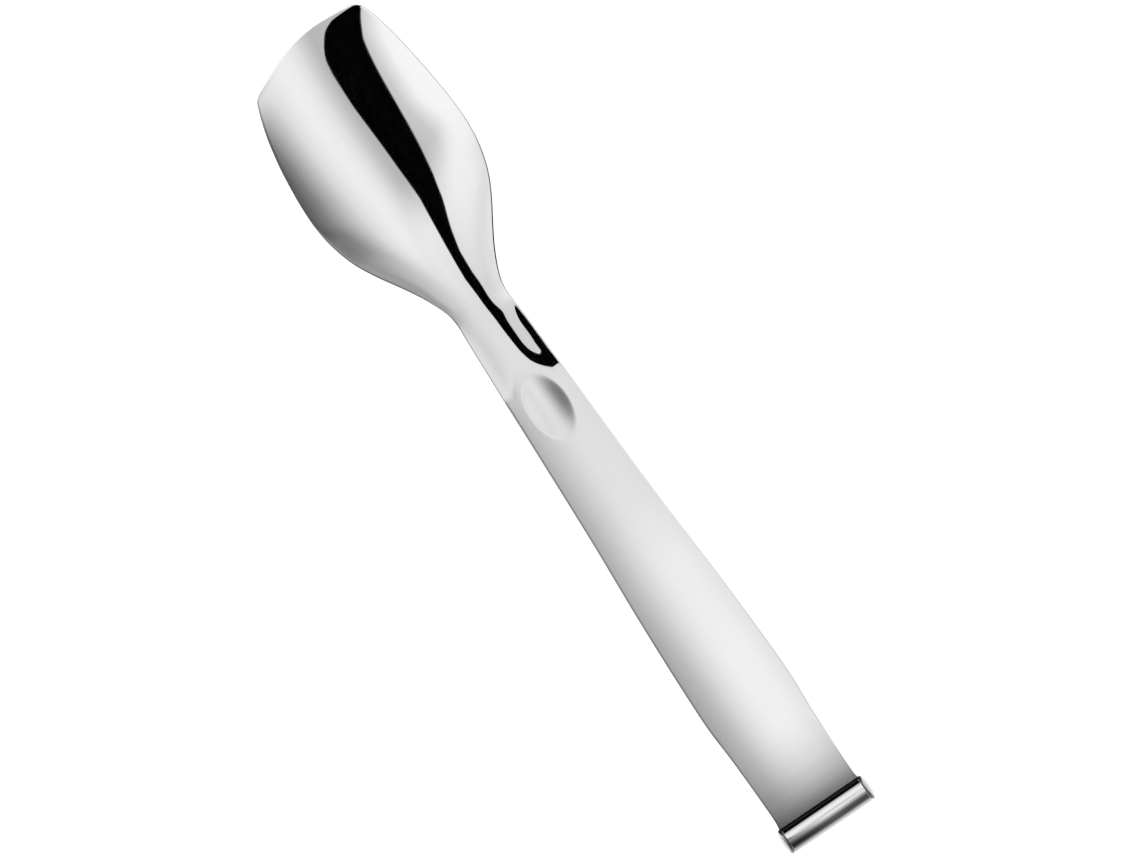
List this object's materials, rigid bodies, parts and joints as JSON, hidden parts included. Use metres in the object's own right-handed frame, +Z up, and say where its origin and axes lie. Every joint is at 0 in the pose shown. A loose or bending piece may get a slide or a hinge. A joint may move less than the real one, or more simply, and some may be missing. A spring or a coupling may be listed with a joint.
{
  "type": "bread tongs",
  "caption": "Polished steel bread tongs: bowed flat handles with a thumb hollow, scoop jaws with a slanted front edge, and a sprung barrel hinge.",
  "frame": {"origin": "middle of the bounding box on the table, under the lower arm", "axes": "+X from the hinge towards the jaws, +Y along the hinge axis to the left, +Z up from the table"},
  "size_m": [0.2301, 0.0446, 0.0651],
  "materials": {
    "polished_steel": "mirror polished stainless steel",
    "hinge_steel": "turned stainless steel",
    "spring_steel": "drawn stainless spring wire"
  },
  "bodies": {
    "lower": {"lower_arm": "polished_steel", "knuckle_left": "hinge_steel", "knuckle_right": "hinge_steel", "torsion_spring": "spring_steel"},
    "upper": {"upper_arm": "polished_steel", "hinge_barrel": "polished_steel", "end_cap_left": "polished_steel", "end_cap_right": "polished_steel", "hinge_pin": "hinge_steel"}
  },
  "joints": [
    {"name": "hinge", "type": "hinge", "parent": "lower", "child": "upper", "pos_m": [-0.11185, 0, 0.0136], "axis": [0, 1, 0], "range_deg": [0, 12], "stiffness_Nm_per_rad": 0.2, "springref_deg": -37.24}
  ]
}
